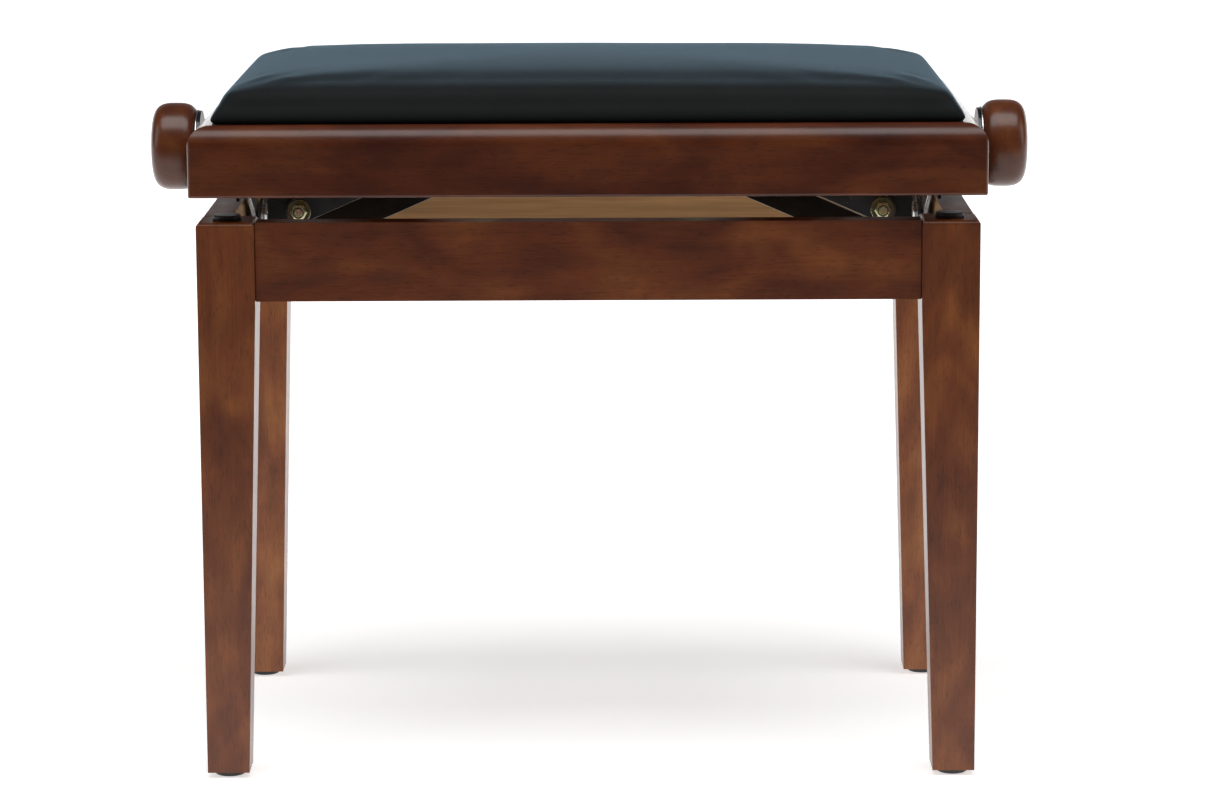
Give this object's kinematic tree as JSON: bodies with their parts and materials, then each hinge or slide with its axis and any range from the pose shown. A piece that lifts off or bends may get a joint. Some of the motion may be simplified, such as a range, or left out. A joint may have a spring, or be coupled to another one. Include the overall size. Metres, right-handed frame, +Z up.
{
  "type": "adjustable piano bench",
  "caption": "Height-adjustable piano bench: tapered wooden legs on a railed base, an upholstered seat frame, and a spindle with end knobs that lifts it on struts and scissors.",
  "frame": {"origin": "on the floor, under the middle of the bench, at the bottom centre of its box", "axes": "+X to the sitter's right as drawn, along the bench's length and its spindle; +Y to the back; +Z up"},
  "size_m": [0.633, 0.336, 0.498],
  "materials": {
    "walnut_legs": "satin walnut stain on beech, grain upright",
    "walnut_rails": "satin walnut stain on beech, grain along the rail",
    "walnut_knobs": "satin walnut stain, turned",
    "pale_wood": "bare beech",
    "plywood": "bare plywood",
    "black_rubber": "matt",
    "black_steel": "semi-gloss black paint",
    "black_plastic": "gloss black",
    "yellow_zinc": "yellow zinc plate",
    "bright_steel": "bright zinc plate",
    "foam": "upholstery foam",
    "velour": "short-pile black velour"
  },
  "bodies": {
    "base": {"leg_front_left": "walnut_legs", "leg_front_right": "walnut_legs", "leg_rear_left": "walnut_legs", "leg_rear_right": "walnut_legs", "base_rail_front": "walnut_rails", "base_rail_rear": "walnut_rails", "base_rail_left": "walnut_rails", "base_rail_right": "walnut_rails", "glue_blocks": "pale_wood", "foot_glides": "black_rubber", "glide_nails": "bright_steel", "rest_bumpers": "black_rubber", "scissor_plate_left": "black_steel", "scissor_plate_right": "black_steel", "scissor_plate_screws": "yellow_zinc", "strut_brackets": "black_steel", "strut_bracket_screws": "yellow_zinc", "strut_pivot_bolts": "yellow_zinc", "strut_pivot_nuts": "yellow_zinc", "strut_pivot_washers": "yellow_zinc", "scissor_base_pins": "bright_steel"},
    "scissor_left_a": {"scissor_outer_left": "bright_steel", "scissor_outer_pins_left": "bright_steel"},
    "scissor_left_b": {"scissor_inner_left": "bright_steel", "scissor_inner_pin_left": "bright_steel"},
    "scissor_right_a": {"scissor_outer_right": "bright_steel", "scissor_outer_pins_right": "bright_steel"},
    "scissor_right_b": {"scissor_inner_right": "bright_steel", "scissor_inner_pin_right": "bright_steel"},
    "strut_left": {"strut_front_left": "black_steel", "strut_rear_left": "black_steel", "strut_tie_left": "black_steel"},
    "strut_right": {"strut_front_right": "black_steel", "strut_rear_right": "black_steel", "strut_tie_right": "black_steel"},
    "nut_left": {"nut_bar_left": "yellow_zinc", "nut_bar_clips_left": "bright_steel"},
    "nut_right": {"nut_bar_right": "yellow_zinc", "nut_bar_clips_right": "bright_steel"},
    "spindle": {"spindle": "bright_steel", "knob_left": "walnut_knobs", "knob_right": "walnut_knobs", "knob_ferrules": "bright_steel", "knob_collars": "black_plastic", "knob_set_screws": "bright_steel"},
    "seat": {"seat_rail_front": "walnut_rails", "seat_rail_rear": "walnut_rails", "seat_rail_left": "walnut_rails", "seat_rail_right": "walnut_rails", "seat_corner_blocks": "pale_wood", "seat_board": "plywood", "seat_board_screws": "yellow_zinc", "foam_pad": "foam", "cushion_cover": "velour", "seat_bracket_left": "black_steel", "seat_bracket_right": "black_steel", "seat_bracket_screws": "yellow_zinc", "scissor_seat_pins": "bright_steel", "spindle_bushes": "bright_steel", "thrust_washers": "bright_steel"}
  },
  "joints": [
    {"name": "seat_height", "type": "hinge", "parent": "base", "child": "scissor_left_a", "pos_m": [-0.2429, 0.072, 0.35], "axis": [-1, 0, 0], "range_deg": [-5.54, 44.71]},
    {"name": "scissor_left_centre", "type": "hinge", "parent": "scissor_left_a", "child": "scissor_left_b", "pos_m": [-0.2389, 0.00097, 0.381], "axis": [-1, 0, 0], "range_deg": [-89.42, 11.08]},
    {"name": "scissor_left_seat_pivot", "type": "hinge", "parent": "scissor_left_b", "child": "seat", "pos_m": [-0.2389, 0.072, 0.412], "axis": [-1, 0, 0], "range_deg": [-5.54, 44.71]},
    {"name": "scissor_right_base_pivot", "type": "hinge", "parent": "base", "child": "scissor_right_a", "pos_m": [0.2429, 0.072, 0.35], "axis": [-1, 0, 0], "range_deg": [-5.54, 44.71]},
    {"name": "scissor_right_centre", "type": "hinge", "parent": "scissor_right_a", "child": "scissor_right_b", "pos_m": [0.2389, 0.00097, 0.381], "axis": [-1, 0, 0], "range_deg": [-89.42, 11.08]},
    {"name": "strut_left_pivot", "type": "hinge", "parent": "base", "child": "strut_left", "pos_m": [-0.22, 0, 0.368], "axis": [0, -1, 0], "range_deg": [-5.54, 44.71]},
    {"name": "nut_left_pivot", "type": "hinge", "parent": "strut_left", "child": "nut_left", "pos_m": [-0.07794, 0, 0.43], "axis": [0, -1, 0], "range_deg": [-44.71, 5.54]},
    {"name": "strut_right_pivot", "type": "hinge", "parent": "base", "child": "strut_right", "pos_m": [0.22, 0, 0.368], "axis": [0, -1, 0], "range_deg": [-44.71, 5.54]},
    {"name": "nut_right_pivot", "type": "hinge", "parent": "strut_right", "child": "nut_right", "pos_m": [0.07794, 0, 0.43], "axis": [0, -1, 0], "range_deg": [-5.54, 44.71]},
    {"name": "spindle_turn", "type": "hinge", "parent": "seat", "child": "spindle", "pos_m": [0, 0, 0.43], "axis": [1, 0, 0], "range_deg": [-714.78, 5767.95]}
  ],
  "couplings": [
    {"joint": "scissor_left_centre", "follows": "seat_height", "ratio": -2},
    {"joint": "scissor_left_seat_pivot", "follows": "seat_height", "ratio": 1},
    {"joint": "scissor_right_base_pivot", "follows": "seat_height", "ratio": 1},
    {"joint": "scissor_right_centre", "follows": "seat_height", "ratio": -2},
    {"joint": "strut_left_pivot", "follows": "seat_height", "ratio": 1},
    {"joint": "nut_left_pivot", "follows": "seat_height", "ratio": -1},
    {"joint": "strut_right_pivot", "follows": "seat_height", "ratio": -1},
    {"joint": "nut_right_pivot", "follows": "seat_height", "ratio": 1},
    {"joint": "spindle_turn", "follows": "seat_height", "ratio": 129.01}
  ]
}
